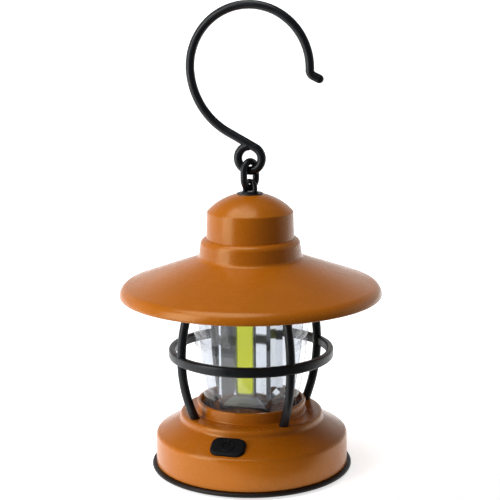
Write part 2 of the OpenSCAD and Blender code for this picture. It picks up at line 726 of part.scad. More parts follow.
module bottom_cover() {
  wall_r = [27.9, 29.2];
  grip_r = 13;
  lug_z = tab_z + tab_h + gap;
  color([0.10, 0.10, 0.11]) {
    difference() {
      union() {
        rotate_extrude($fn = 128) polygon([
          [0, 0], [29.6, 0], [30.4, 0.6], [cover_r, 0.7], [cover_r, groove_z[0]], [groove_r, groove_z[0]],
          [groove_r, groove_z[1]], [cover_r, groove_z[1]], [cover_r, cover_top_z], [0, cover_top_z]
        ]);
        translate([0, 0, cover_top_z - 0.1]) cylinder(r = grip_r + 1.2, h = 0.9);
      }
      difference() {
        translate([0, 0, -1]) cylinder(r = grip_r, h = 2.9);
        translate([-2.5, -20, 0.3]) cube([5, 40, 5]);
      }
    }
    ring(wall_r[0], wall_r[1], cover_top_z - 0.1, lug_z + 1.2 - cover_top_z + 0.1);
    for (a = [90, 210, 330]) rotate([0, 0, a]) wall_block(wall_r[1] - 0.3, 30.6, lug_z, 1.2, lug_half_a);
  }
}

// A rubber bead with a tongue that sits in the groove round the cover's edge
module rim_ring() {
  bead_r = (bead_z[1] - bead_z[0]) / 2;
  color([0.13, 0.10, 0.09]) rotate_extrude($fn = 128) polygon(concat(
    [[cover_r + run_gap, bead_z[0]]],
    arc([rim_ring_r - bead_r, bead_z[0] + bead_r], bead_r, -90, 90, 12),
    [[cover_r + run_gap, bead_z[1]], [cover_r + run_gap, groove_z[1] - run_gap],
     [groove_r + run_gap, groove_z[1] - run_gap], [groove_r + run_gap, groove_z[0] + run_gap],
     [cover_r + run_gap, groove_z[0] + run_gap]]
  ));
}

shade();
crown_plate();
plate_screws();
eye_grommet();
eye_washer();
eye_nut();
top_eye();
chain_link();
hook();
cage();
cage_screws();
lens();
lens_gasket();
lens_top_seal();
reflector();
led_core();
cob_board_front();
cob_board_rear();
phosphor_front();
phosphor_rear();
core_screws();
base_shell();
push_button();
switch_plunger();
switch_body();
switch_board();
switch_screws();
circuit_board();
driver_chip();
board_screws();
battery_tray();
tray_screws();
battery_cell_1();
battery_cell_2();
battery_cell_3();
contact_plates();
contact_springs();
battery_leads();
switch_leads();
led_leads();
bottom_cover();
rim_ring();
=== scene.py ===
"""A small hanging lantern: the looks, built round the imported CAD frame.

Lengths are in millimetres until a mesh is made. +Z is up, and the push button faces -Y.
"""

import json
from math import acos, atan2, cos, degrees, pi, radians, sin, sqrt, tan

import bmesh
import bpy
from mathutils import Matrix, Vector


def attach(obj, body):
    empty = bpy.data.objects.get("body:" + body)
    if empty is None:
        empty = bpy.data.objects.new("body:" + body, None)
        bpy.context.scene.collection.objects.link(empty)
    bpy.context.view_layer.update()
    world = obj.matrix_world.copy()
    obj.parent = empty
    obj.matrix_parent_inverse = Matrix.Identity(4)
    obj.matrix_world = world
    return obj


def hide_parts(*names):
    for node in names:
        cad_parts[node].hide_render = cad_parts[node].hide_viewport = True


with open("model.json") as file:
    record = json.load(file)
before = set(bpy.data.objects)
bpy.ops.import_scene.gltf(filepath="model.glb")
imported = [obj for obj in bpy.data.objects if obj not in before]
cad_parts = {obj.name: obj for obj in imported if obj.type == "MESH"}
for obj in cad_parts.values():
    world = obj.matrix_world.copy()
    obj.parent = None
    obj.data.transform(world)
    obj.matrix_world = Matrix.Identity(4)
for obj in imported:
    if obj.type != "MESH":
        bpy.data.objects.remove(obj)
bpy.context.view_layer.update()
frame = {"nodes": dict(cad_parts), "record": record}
NODES = frame["nodes"]
MM = 0.001
TURN = 256  # steps round a lathed piece

# ---- Sizes that several pieces share ----

SHEET = 1.2
RIM_BEND, RIM_LIP, RIM_TOP = 3.8, 3, 70.1
RIM_CENTRE = (40.2, 60.45)
SKIRT_SLOPE = 19.9
BAND_R, BAND_TOP_R, BAND_TOP_Z = 17.2, 16.75, 77.3
CROWN_R, CROWN_TOP_R, CREASE_Z = 14.7, 14.4, 88.3
DOME_R = 19.6
DOME_Z = CREASE_Z - sqrt(DOME_R**2 - CROWN_TOP_R**2)
GROMMET_R = 4.45
GROMMET_Z = DOME_Z + sqrt(DOME_R**2 - GROMMET_R**2)
SLEEVE_R = 2.6

DRUM_FOOT_R, DRUM_TOP_R, DRUM_FOOT_Z = 32.7, 32.55, 2.1
CONE_SLOPE, CONE_CORNER_Z = 29.8, 12.6
STEP_R, STEP_ROUND, STEP_FOOT, LEDGE_Z = 24.3, 1.3, 1.0, 19.8
COLLAR_R, COLLAR_IN_R, COLLAR_TOP_Z = 18.4, 17.2, 23.7
FLOOR_Z, CEILING_Z = 21.0, 18.7
COVER_R, BEAD_R, BEAD_Z = 31.4, 34.1, (0.6, 2.05)

GUARD_R, GUARD_T, GUARD_Z, GUARD_H = 27.9, 2.2, 38.7, 3.3
RIB_ARC_R, RIB_ARC_CENTRE, RIB_ROD = 48.9, (-22.6, 40.7), 1.5
RIB_FOOT, RIB_TOP = -28, 20.1
RIB_ANGLES = (45, 135, 225, 315)
TOP_RING = (21.7, 24.9, 56.4, 2.1)  # inner and outer radius, foot, height

LENS_Z, LENS_TOP_Z, LENS_WALL = 21.8, 58.4, 1.8
LENS_R, LENS_SWEEP_R, LENS_WIDE_Z = 19.8, 171.5, 60

BUTTON_R = 27.9
BUTTON_Z = CONE_CORNER_Z + (DRUM_TOP_R - BUTTON_R) * tan(radians(CONE_SLOPE))
BUTTON_W, BUTTON_H, BUTTON_CORNER, BUTTON_PROUD = 11.5, 7.4, 2.8, 0.9
STEM_W, STEM_H = 9.3, 5.3

LOOP_Z, LOOP_WIRE, LOOP_TURN = 96.15, 0.85, -25
LINK_WIRE, LINK_HALF, LINK_TOP_Z = 1.15, 3.04, 104.9
LOOP_R = LINK_WIRE + LOOP_WIRE + 0.15
HOOK_WIRE, HOOK_EYE_R, BOW_R = 1.45, 4.05, 20.3
HOOK_EYE_Z = LINK_TOP_Z - LINK_WIRE - 0.45 - HOOK_WIRE + HOOK_EYE_R
BOW_CENTRE = (0.0, 135.6)
STEM_SLOPE, BOW_JOIN, BOW_END, EYE_END = 27.9, 185, -1.5, 92
TIP_BEND_R, TIP_LENGTH, TIP_SLOPE = 2.0, 2.2, 25

# ---- Outlines ----


def arc(centre, r, first, last, step=4.0):
    """Points on an arc, from one angle to another in degrees."""
    n = max(2, round(abs(last - first) / step))
    angles = [radians(first + (last - first) * i / n) for i in range(n + 1)]
    return [(centre[0] + r * cos(a), centre[1] + r * sin(a)) for a in angles]


def filleted(points, step=12.0):
    """A closed outline of (x, y) or (x, y, radius), with each corner that has a radius made round."""
    out = []
    for i, p in enumerate(points):
        if len(p) == 2 or p[2] == 0:
            out.append(p[:2])
            continue
        here = Vector(p[:2])
        back = Vector(points[i - 1][:2]) - here
        on = Vector(points[(i + 1) % len(points)][:2]) - here
        half = back.angle(on) / 2
        reach = min(p[2] / tan(half), 0.49 * back.length, 0.49 * on.length)
        r = reach * tan(half)
        centre = here + (back.normalized() + on.normalized()).normalized() * (r / sin(half))
        a = here + back.normalized() * reach - centre
        b = here + on.normalized() * reach - centre
        swing = a.angle_signed(b) if a.length and b.length else 0
        start, swing = atan2(a.y, a.x), -swing
        n = max(1, round(degrees(abs(swing)) / step))
        for k in range(n + 1):
            t = start + swing * k / n
            out.append((centre.x + r * cos(t), centre.y + r * sin(t)))
    return out


def offset(points, distance):
    """An open outline moved to its right-hand side."""
    out = []
    for i, p in enumerate(points):
        a, b = points[max(i - 1, 0)], points[min(i + 1, len(points) - 1)]
        d = Vector((b[0] - a[0], b[1] - a[1])).normalized()
        out.append((p[0] - d.y * distance, p[1] + d.x * distance))
    return out


def rounded_rect(w, h, r, step=9.0):
    """A rounded rectangle about the origin, counter-clockwise."""
    corners = ((1, 1, 0), (-1, 1, 90), (-1, -1, 180), (1, -1, 270))
    return [p for x, y, a in corners for p in arc((x * (w / 2 - r), y * (h / 2 - r)), r, a, a + 90, step)]


# ---- Meshes ----


def lathe(outline, steps=TURN):
    """A closed outline of (radius, height) turned about Z."""
    bm = bmesh.new()
    rings = []
    for k in range(steps):
        a = 2 * pi * k / steps
        rings.append([bm.verts.new((r * cos(a) * MM, r * sin(a) * MM, z * MM)) for r, z in outline])
    n = len(outline)
    for k in range(steps):
        here, there = rings[k], rings[(k + 1) % steps]
        for i in range(n):
            j = (i + 1) % n
            bm.faces.new((here[i], there[i], there[j], here[j]))
    bmesh.ops.remove_doubles(bm, verts=bm.verts, dist=1e-7)
    bmesh.ops.recalc_face_normals(bm, faces=bm.faces)
    return bm


def sweep(path, radius, closed=False, sides=28, ends=("flat", "flat")):
    """Round wire along a list of points. An end is flat, with a slight bevel, or round."""
    pts = [Vector(p) for p in path]
    last = len(pts) - 1
    dirs = []
    for i in range(len(pts)):
        a = pts[i - 1] if closed or i else pts[0]
        b = pts[(i + 1) % len(pts)] if closed or i < last else pts[last]
        dirs.append((b - a).normalized())
    side = dirs[0].orthogonal().normalized()
    rings = []
    for p, d in zip(pts, dirs):
        side = (side - d * side.dot(d)).normalized()
        rings.append((p, side, d.cross(side), radius))
    if not closed:
        rings = cap(rings[0], -dirs[0], ends[0])[::-1] + rings + cap(rings[-1], dirs[-1], ends[1])
    bm = bmesh.new()
    loops = [
        [bm.verts.new((p + r * (cos(2 * pi * k / sides) * u + sin(2 * pi * k / sides) * v)) * MM)
         for k in range(sides)]
        for p, u, v, r in rings
    ]
    pairs = list(zip(loops, loops[1:])) + ([(loops[-1], loops[0])] if closed else [])
    for low, high in pairs:
        for k in range(sides):
            m = (k + 1) % sides
            bm.faces.new((low[k], low[m], high[m], high[k]))
    if not closed:
        bm.faces.new(loops[0][::-1])
        bm.faces.new(loops[-1])
    bmesh.ops.recalc_face_normals(bm, faces=bm.faces)
    return bm


def cap(ring, outward, kind):
    """The extra rings that finish a wire's end."""
    p, u, v, r = ring
    if kind == "round":
        angles = [radians(a) for a in range(10, 90, 10)]
        return [(p + outward * r * sin(a), u, v, r * cos(a)) for a in angles]
    bevel = 0.12 * r
    return [(p + outward * bevel * 0.5, u, v, r - bevel * 0.15), (p + outward * bevel, u, v, r - bevel)]


def loft(outlines, place):
    """Stacked closed outlines of equal count, as (height, outline), joined and capped at both ends."""
    bm = bmesh.new()
    rings = [
        [bm.verts.new(place @ Vector((x * MM, y * MM, z * MM))) for x, y in line]
        for z, line in outlines
    ]
    for low, high in zip(rings, rings[1:]):
        for k in range(len(low)):
            m = (k + 1) % len(low)
            bm.faces.new((low[k], low[m], high[m], high[k]))
    bm.faces.new(rings[0][::-1])
    bm.faces.new(rings[-1])
    bmesh.ops.recalc_face_normals(bm, faces=bm.faces)
    return bm


def joined(*parts):
    """Several meshes in one."""
    whole = bmesh.new()
    for part in parts:
        mesh = bpy.data.meshes.new("part")
        part.to_mesh(mesh)
        part.free()
        whole.from_mesh(mesh)
        bpy.data.meshes.remove(mesh)
    return whole


def piece(name, bm, body, material, stands_for=(), crease=32.0):
    """A finished piece: smooth, with its sharp edges kept, riding on its body."""
    for face in bm.faces:
        face.smooth = True
    for edge in bm.edges:
        edge.smooth = len(edge.link_faces) == 2 and edge.calc_face_angle() < radians(crease)
    mesh = bpy.data.meshes.new(name)
    bm.to_mesh(mesh)
    bm.free()
    mesh.materials.append(material)
    obj = bpy.data.objects.new(name, mesh)
    bpy.context.scene.collection.objects.link(obj)
    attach(obj, body)
    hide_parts(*stands_for)
    return obj


SLOT_OF = {s["node"]: s["material_slot"] for s in frame["record"]["subparts"]}

# ---- Materials ----


def map_range(tree, value, low, high, out_low, out_high):
    """A node that carries one range of a value over to another."""
    node = tree.nodes.new("ShaderNodeMapRange")
    for key, number in (("From Min", low), ("From Max", high), ("To Min", out_low), ("To Max", out_high)):
        node.inputs[key].default_value = number
    tree.links.new(value, node.inputs["Value"])
    return node


class Paint:
    """A material with one Principled shader, and the textures that vary it, in object space."""

    def __init__(self, name, **sockets):
        self.material = bpy.data.materials.new(name)
        self.material.use_nodes = True
        self.tree = self.material.node_tree
        self.shader = self.tree.nodes["Principled BSDF"]
        self.coords = self.tree.nodes.new("ShaderNodeTexCoord").outputs["Object"]
        self.normal = None
        for key, value in sockets.items():
            self.shader.inputs[key.replace("_", " ").title().replace("Ior", "IOR")].default_value = value

    def link(self, a, b):
        self.tree.links.new(a, b)

    def noise(self, scale, detail=3.0, stretch=(1, 1, 1), rough=0.5):
        """Noise with this many features to the metre, stretched along an axis."""
        vector = self.coords
        if stretch != (1, 1, 1):
            mapping = self.tree.nodes.new("ShaderNodeMapping")
            mapping.inputs["Scale"].default_value = stretch
            self.link(self.coords, mapping.inputs["Vector"])
            vector = mapping.outputs["Vector"]
        tex = self.tree.nodes.new("ShaderNodeTexNoise")
        tex.inputs["Scale"].default_value = scale
        tex.inputs["Detail"].default_value = detail
        tex.inputs["Roughness"].default_value = rough
        self.link(vector, tex.inputs["Vector"])
        return tex.outputs["Fac"]

    def colour(self, value, *stops):
        """Base colour from a ramp of (position, colour)."""
        ramp = self.tree.nodes.new("ShaderNodeValToRGB")
        elements = ramp.color_ramp.elements
        while len(elements) < len(stops):
            elements.new(0.5)
        for element, (position, rgb) in zip(elements, stops):
            element.position = position
            element.color = (*rgb, 1)
        self.link(value, ramp.inputs["Fac"])
        self.link(ramp.outputs["Color"], self.shader.inputs["Base Color"])
        return self

    def roughness(self, value, low, high):
        """Roughness between two values, as the noise goes from low to high."""
        node = map_range(self.tree, value, 0.3, 0.7, low, high)
        self.link(node.outputs["Result"], self.shader.inputs["Roughness"])
        return self

    def bump(self, value, depth_mm, strength=1.0):
        """Relief of this depth, on top of any relief set before."""
        node = self.tree.nodes.new("ShaderNodeBump")
        node.inputs["Distance"].default_value = depth_mm * MM
        node.inputs["Strength"].default_value = strength
        self.link(value, node.inputs["Height"])
        if self.normal:
            self.link(self.normal, node.inputs["Normal"])
        self.normal = node.outputs["Normal"]
        self.link(self.normal, self.shader.inputs["Normal"])
        return self


def shade_of(rgb, factor):
    """A colour made darker or lighter."""
    return tuple(c * factor for c in rgb)


def enamel(name, rgb, rough):
    """Sprayed satin enamel: faint orange peel and slow colour drift."""
    p = Paint(name, specular_ior_level=0.5, specular_tint=(1.0, 0.78, 0.45, 1))
    p.colour(p.noise(55, 4), (0.3, shade_of(rgb, 0.95)), (0.7, shade_of(rgb, 1.05)))
    p.roughness(p.noise(320, 4), rough - 0.04, rough + 0.05)
    p.bump(p.noise(1500, 2), 0.006, 0.5)
    p.bump(p.noise(300, 2), 0.01, 0.4)
    return p.material


def wire_paint(name, rgb, rough):
    """Black powder coat on bent wire: fine grain, with rubbed, paler patches."""
    p = Paint(name, specular_ior_level=0.3)
    rubbed = p.noise(140, 5)
    p.colour(rubbed, (0.35, rgb), (0.62, shade_of(rgb, 1.5)), (0.8, shade_of(rgb, 2.4)))
    p.roughness(p.noise(420, 4), rough - 0.06, rough + 0.08)
    p.bump(p.noise(3200, 2), 0.008, 0.6)
    return p.material


def moulded(name, rgb, rough, grain=2400, depth=0.01, gloss=0.45, painted_glow=0.0):
    """Moulded rubber or plastic with a fine tool texture, and, where asked for, a glow in its own colour
    that is painted light.
    """
    p = Paint(name, specular_ior_level=gloss, emission_color=(*rgb, 1), emission_strength=painted_glow)
    p.colour(p.noise(90, 4), (0.3, shade_of(rgb, 0.85)), (0.7, shade_of(rgb, 1.2)))
    p.roughness(p.noise(260, 4), rough - 0.07, rough + 0.07)
    p.bump(p.noise(grain, 3), depth, 0.6)
    return p.material


def metal(name, rgb, rough, stretch=(1, 1, 1), grain=700, depth=0.004):
    """Bare metal with drawn or cast grain."""
    p = Paint(name, metallic=1.0)
    lines = p.noise(grain, 5, stretch)
    p.colour(lines, (0.3, shade_of(rgb, 0.88)), (0.7, rgb))
    p.roughness(lines, rough * 0.75, rough * 1.35)
    p.bump(lines, depth, 0.5)
    return p.material


CLEAR_IOR, HAZE_SHARE = 1.5, 0.035
CLEAR_TINT, HAZE_TINT = (0.88, 0.89, 0.91, 1), (0.82, 0.84, 0.87, 1)


def clear_plastic(name):
    """Clear moulded chimney: see-through, with gloss at the edges and a faint haze."""
    material = bpy.data.materials.new(name)
    material.use_nodes = True
    tree = material.node_tree
    tree.nodes.remove(tree.nodes["Principled BSDF"])
    new, link = tree.nodes.new, tree.links.new
    coords = new("ShaderNodeTexCoord").outputs["Object"]
    noise = new("ShaderNodeTexNoise")
    noise.inputs["Scale"].default_value = 120
    noise.inputs["Detail"].default_value = 3
    link(coords, noise.inputs["Vector"])
    bump = new("ShaderNodeBump")
    bump.inputs["Distance"].default_value = 0.02 * MM
    bump.inputs["Strength"].default_value = 0.6
    link(noise.outputs["Fac"], bump.inputs["Height"])
    clear = new("ShaderNodeBsdfTransparent")
    clear.inputs["Color"].default_value = CLEAR_TINT
    haze = new("ShaderNodeBsdfDiffuse")
    haze.inputs["Color"].default_value = HAZE_TINT
    gloss = new("ShaderNodeBsdfGlossy")
    gloss.inputs["Roughness"].default_value = 0.04
    link(bump.outputs["Normal"], gloss.inputs["Normal"])
    fresnel = new("ShaderNodeFresnel")
    side = new("ShaderNodeMapRange")
    side.inputs["To Min"].default_value = CLEAR_IOR
    side.inputs["To Max"].default_value = 1 / CLEAR_IOR
    link(new("ShaderNodeNewGeometry").outputs["Backfacing"], side.inputs["Value"])
    link(side.outputs["Result"], fresnel.inputs["IOR"])
    link(bump.outputs["Normal"], fresnel.inputs["Normal"])
    veil = new("ShaderNodeMixShader")
    veil.inputs["Fac"].default_value = HAZE_SHARE
    link(clear.outputs["BSDF"], veil.inputs[1])
    link(haze.outputs["BSDF"], veil.inputs[2])
    skin = new("ShaderNodeMixShader")
    link(fresnel.outputs["Fac"], skin.inputs["Fac"])
    link(veil.outputs["Shader"], skin.inputs[1])
    link(gloss.outputs["BSDF"], skin.inputs[2])
    link(skin.outputs["Shader"], tree.nodes["Material Output"].inputs["Surface"])
    return material


def cell_wrap(name):
    """A battery's printed sleeve: glossy, mottled dark blue."""
    p = Paint(name, coat_weight=0.6, coat_roughness=0.1)
    p.colour(p.noise(60, 3), (0.3, (0.02, 0.07, 0.22)), (0.7, (0.03, 0.10, 0.28)))
    p.roughness(p.noise(300, 3), 0.25, 0.35)
    p.bump(p.noise(900, 2), 0.004, 0.4)
    return p.material


ORANGE = (0.40, 0.110, 0.0030)
BLACK = (0.0036, 0.0044, 0.0060)
MATERIALS = {
    "shade_paint": enamel("shade_enamel", ORANGE, 0.25),
    "base_paint": enamel("base_enamel", ORANGE, 0.25),
    "white_paint": enamel("plate_enamel", (0.80, 0.80, 0.78), 0.35),
    "cage_black": wire_paint("cage_coat", BLACK, 0.32),
    "hook_black": wire_paint("hook_coat", BLACK, 0.30),
    "link_black": wire_paint("link_coat", BLACK, 0.30),
    "eye_black": wire_paint("eye_coat", BLACK, 0.30),
    "grommet_black": moulded("grommet_plastic", BLACK, 0.40),
    "clear_lens": clear_plastic("chimney_plastic"),
    "gasket_rubber": moulded("gasket_rubber", (0.02, 0.02, 0.02), 0.7),
    "mirror_plating": metal("mirror_plating", (0.86, 0.88, 0.90), 0.07, (1, 1, 0.15), 420, 0.006),
    "core_aluminium": metal("core_aluminium", (0.75, 0.76, 0.78), 0.35),
    "cob_white": moulded("strip_board", (0.62, 0.66, 0.42), 0.5),
    # The strip glows a little though the lamp is off: painted light that brightens it in the chimney's
    # shade.
    "phosphor_yellow": moulded("strip_phosphor_painted_glow", (0.80, 0.86, 0.06), 0.45, 1800, 0.02, 0.2, 0.5),
    "button_rubber": moulded("button_rubber", (0.0045, 0.005, 0.0062), 0.50, 2600, 0.012, 0.1),
    "switch_steel": metal("switch_steel", (0.58, 0.59, 0.61), 0.3),
    "inner_black": moulded("inner_plastic", (0.02, 0.02, 0.02), 0.5),
    "board_green": moulded("circuit_board", (0.015, 0.11, 0.045), 0.35, 1200, 0.01),
    "cell_wrap": cell_wrap("cell_sleeve"),
    "contact_nickel": metal("contact_nickel", (0.70, 0.68, 0.64), 0.25),
    "screw_steel": metal("screw_steel", (0.52, 0.52, 0.54), 0.3),
    "lead_red": moulded("lead_red", (0.40, 0.02, 0.015), 0.45),
    "lead_white": moulded("lead_white", (0.72, 0.72, 0.70), 0.45),
    "cover_black": moulded("cover_plastic", (0.014, 0.014, 0.015), 0.55, 1600, 0.02),
    "rim_rubber": moulded("rim_rubber", (0.008, 0.005, 0.004), 0.42, 1800, 0.012, 0.2),
}
for node, obj in NODES.items():
    for material_slot in obj.material_slots:
        material_slot.material = MATERIALS[SLOT_OF[node]]

# ---- Shade ----


def shade_outline(crease):
    """The shade's outer face from its rim up to the hole in its crown."""
    slope = radians(SKIRT_SLOPE)
    rim = arc(RIM_CENTRE, RIM_BEND, RIM_LIP, RIM_TOP, 3)
    fillet = 1.5
    band_foot_z = rim[-1][1] + (rim[-1][0] - BAND_R - fillet) * tan(slope) + fillet / cos(slope)
    top = degrees(acos(CROWN_TOP_R / DOME_R))
    end = degrees(acos(GROMMET_R / DOME_R))
    face = rim + arc((BAND_R + fillet, band_foot_z), fillet, 270 - SKIRT_SLOPE, 180, 8)
    face += arc((CROWN_R, BAND_TOP_Z), BAND_TOP_R - CROWN_R, 0, 90, 7)
    wall_end = (CROWN_TOP_R, CREASE_Z)
    dome = arc((0, DOME_Z), DOME_R, top, end, 3)
    if crease:
        turn = filleted([face[-1], (*wall_end, crease), dome[2]], 8)[1:-1]
        return face + turn + dome[2:]
    return face + dome


def build_shade():
    """One sheet: the outer face, the rolled lip and the inner face."""
    outer = shade_outline(0.8)
    inner = offset(shade_outline(0), SHEET)
    lip = (RIM_CENTRE[0] + (RIM_BEND - SHEET / 2) * cos(radians(RIM_LIP)),
           RIM_CENTRE[1] + (RIM_BEND - SHEET / 2) * sin(radians(RIM_LIP)))
    curl = arc(lip, SHEET / 2, 178, 360, 15)
    top = [(SLEEVE_R, GROMMET_Z), (SLEEVE_R, GROMMET_Z - SHEET), (GROMMET_R - 0.4, GROMMET_Z - SHEET)]
    outline = curl + outer + top + inner[::-1][1:-1]
    piece("shade_skin", lathe(outline), "lantern", MATERIALS["shade_paint"], ["shade"])


def ease(node, width, angle=25.0, segments=2):
    """Bevels a CAD node's edges with modifiers."""
    obj = NODES[node]
    weld = obj.modifiers.new("weld", "WELD")
    weld.merge_threshold = 1e-6
    bevel = obj.modifiers.new("ease", "BEVEL")
    bevel.width = width * MM
    bevel.segments = segments
    bevel.limit_method = "ANGLE"
    bevel.angle_limit = radians(angle)
    bevel.harden_normals = True


# ---- Eye, link and hook ----


def build_grommet():
    """The grommet's sleeve in the crown and its low flange on top."""
    bore, sleeve, flange = 1.55, SLEEVE_R - 0.1, GROMMET_R - 0.1
    outline = filleted([
        (bore, GROMMET_Z - SHEET), (sleeve, GROMMET_Z - SHEET), (sleeve, GROMMET_Z),
        (flange, GROMMET_Z), (flange, GROMMET_Z + 0.4, 0.3), (bore, GROMMET_Z + 0.36, 0.1),
    ])
    piece("eye_grommet_ring", lathe(outline, 96), "lantern", MATERIALS["grommet_black"], ["eye_grommet"])


def upright(points, angle):
    """Points of an XZ outline stood in the vertical plane at this angle from +X."""
    c, s = cos(radians(angle)), sin(radians(angle))
    return [(x * c, x * s, z) for x, z in points]


def build_top_eye():
    """The head and the shank, turned, with the wire loop standing on the head."""
    core = 0.02
    head_r, head_z, head_top_z = 2.9, 94.5, 94.85
    shank_r, shank_z, shank_top_z = 1.5, 89.3, 94.6
    leg_z, leg_top_z = 94.7, 95.4
    head = filleted([(core, head_z), (head_r, head_z), (head_r, head_top_z, 0.12), (core, head_top_z)])
    shank = filleted([(core, shank_z), (shank_r, shank_z, 0.2), (shank_r, shank_top_z), (core, shank_top_z)])
    loop = [(LOOP_R, leg_z), (LOOP_R, leg_top_z)] + arc((0, LOOP_Z), LOOP_R, 0, 180, 5)
    loop += [(-LOOP_R, leg_top_z), (-LOOP_R, leg_z)]
    wire = sweep(upright(loop, LOOP_TURN), LOOP_WIRE, sides=24)
    whole = joined(lathe(head, 72), lathe(shank, 48), wire)
    piece("top_eye_loop", whole, "eye", MATERIALS["eye_black"], ["top_eye"])


def build_link():
    """One oval chain link, square to the eye's loop."""
    low, high = LOOP_Z + LINK_HALF, LINK_TOP_Z - LINK_HALF
    loop = arc((0, high), LINK_HALF, 0, 180, 5) + arc((0, low), LINK_HALF, 180, 360, 5)
    wire = sweep(upright(loop, 90 + LOOP_TURN), LINK_WIRE, closed=True)
    piece("link_wire", wire, "link", MATERIALS["link_black"], ["chain_link"])


def hook_path():
    """The hook's centreline: its eye, the straight stem, the bow, and the tip bent outwards."""
    n = Vector((sin(radians(STEM_SLOPE)), cos(radians(STEM_SLOPE))))
    join = Vector((cos(radians(BOW_JOIN)), sin(radians(BOW_JOIN))))
    start = Vector((0, HOOK_EYE_Z)) + HOOK_EYE_R * n
    bow = Vector(BOW_CENTRE)
    pull = -n.dot(join)
    wide_r = ((bow - start).dot(n) - pull * BOW_R) / (1 - pull)
    wide = bow - (wide_r - BOW_R) * join
    end = radians(BOW_END)
    out = Vector((cos(end), sin(end)))
    tip = bow + (BOW_R + TIP_BEND_R) * out
    path = arc((0, HOOK_EYE_Z), HOOK_EYE_R, EYE_END - 360, 90 - STEM_SLOPE, 5)
    path += arc(wide, wide_r, 270 - STEM_SLOPE, BOW_JOIN, 2.5)
    path += arc(bow, BOW_R, BOW_JOIN, BOW_END, 2.5)[1:]
    path += arc(tip, TIP_BEND_R, 180 + BOW_END, 270 - TIP_SLOPE, 8)[1:]
    slope = radians(TIP_SLOPE)
    path.append((path[-1][0] + TIP_LENGTH * cos(slope), path[-1][1] - TIP_LENGTH * sin(slope)))
    return path


def build_hook():
    wire = sweep(upright(hook_path(), 0), HOOK_WIRE, sides=32, ends=("flat", "round"))
    piece("hook_wire", wire, "hook", MATERIALS["hook_black"], ["hook"])


# ---- Cage and chimney ----


def band(r_in, r_out, z, height, corner, step):
    """The section of a flat ring with rounded corners."""
    top = z + height
    corners = [(r_in, z, corner), (r_out, z, corner), (r_out, top, corner), (r_in, top, corner)]
    return filleted(corners, step)


def build_cage():
    """The guard ring, the top ring, and four ribs cut off flat on the base's ledge."""
    parts = [
        lathe(band(GUARD_R - GUARD_T, GUARD_R, GUARD_Z, GUARD_H, 0.7, 15)),
        lathe(band(*TOP_RING, 0.3, 30)),
    ]
    for angle in RIB_ANGLES:
        rod = arc(RIB_ARC_CENTRE, RIB_ARC_R, RIB_FOOT, RIB_TOP, 2.5)
        rib = sweep(upright(rod, angle), RIB_ROD)
        cut = bmesh.ops.bisect_plane(
            rib, geom=rib.verts[:] + rib.edges[:] + rib.faces[:], plane_co=(0, 0, LEDGE_Z * MM),
            plane_no=(0, 0, -1), clear_outer=True)
        rim = [e for e in cut["geom_cut"] if isinstance(e, bmesh.types.BMEdge)]
        bmesh.ops.contextual_create(rib, geom=rim)
        parts.append(rib)
    piece("cage_guard", joined(*parts), "lantern", MATERIALS["cage_black"], ["cage"], 40)


def lens_radius(z):
    """The chimney's outer radius at a height."""
    return LENS_R - LENS_SWEEP_R + sqrt(LENS_SWEEP_R**2 - (LENS_WIDE_Z - z) ** 2)


def build_chimney():
    """The clear chimney, slightly barrelled and open at both ends."""
    n = 24
    heights = [LENS_Z + (LENS_TOP_Z - LENS_Z) * i / n for i in range(n + 1)]
    outer = [(lens_radius(z), z) for z in heights]
    inner = [(lens_radius(z) - LENS_WALL, z) for z in reversed(heights)]
    edge = 0.5
    outline = [(*outer[0], edge)] + outer[1:-1] + [(*outer[-1], edge), (*inner[0], edge)]
    outline += inner[1:-1] + [(*inner[-1], edge)]
    piece("chimney", lathe(filleted(outline, 20)), "lantern", MATERIALS["clear_lens"], ["lens"], 60)


# ---- Base ----


def on_slope():
    """The frame of the drum's sloping shoulder at the button: +Z outwards, +Y up the slope."""
    place = Matrix.Translation((0, -BUTTON_R * MM, BUTTON_Z * MM))
    return place @ Matrix.Rotation(radians(CONE_SLOPE), 4, "X")


def cone_z(r):
    """The height of the drum's sloping shoulder at a radius."""
    return CONE_CORNER_Z + (DRUM_TOP_R - r) * tan(radians(CONE_SLOPE))


def build_base():
    """The drum, its shoulder, step and collar, with the button's recess and the hole under it."""
    wall, wire_hole_r = 1.6, 2.9
    drop = wall / cos(radians(CONE_SLOPE))
    step_in, top_in, foot_in = STEP_R - wall, DRUM_TOP_R - wall, DRUM_FOOT_R - wall
    outline = filleted([
        (DRUM_FOOT_R, DRUM_FOOT_Z, 0.25), (DRUM_TOP_R, cone_z(DRUM_TOP_R), 1.6),
        (STEP_R, cone_z(STEP_R), STEP_FOOT), (STEP_R, LEDGE_Z, STEP_ROUND), (COLLAR_R, LEDGE_Z, 0.4),
        (COLLAR_R, COLLAR_TOP_Z, 0.55), (COLLAR_IN_R, COLLAR_TOP_Z, 0.4), (COLLAR_IN_R, FLOOR_Z, 0.2),
        (wire_hole_r, FLOOR_Z), (wire_hole_r, CEILING_Z), (step_in, CEILING_Z),
        (step_in, cone_z(step_in) - drop), (top_in, cone_z(top_in) - drop), (foot_in, DRUM_FOOT_Z),
    ], 10)
    drum = piece("base_drum", lathe(outline), "lantern", MATERIALS["base_paint"], ["base_shell"])
    recess = rounded_rect(BUTTON_W + 0.2, BUTTON_H + 0.2, BUTTON_CORNER + 0.1)
    stem_hole = rounded_rect(STEM_W + 0.3, STEM_H + 0.3, 2.15)
    above, below = 4, -3.0
    for depth, line in ((-BUTTON_PROUD, recess), (below, stem_hole)):
        cut_out(drum, loft([(depth, line), (above, line)], on_slope()))


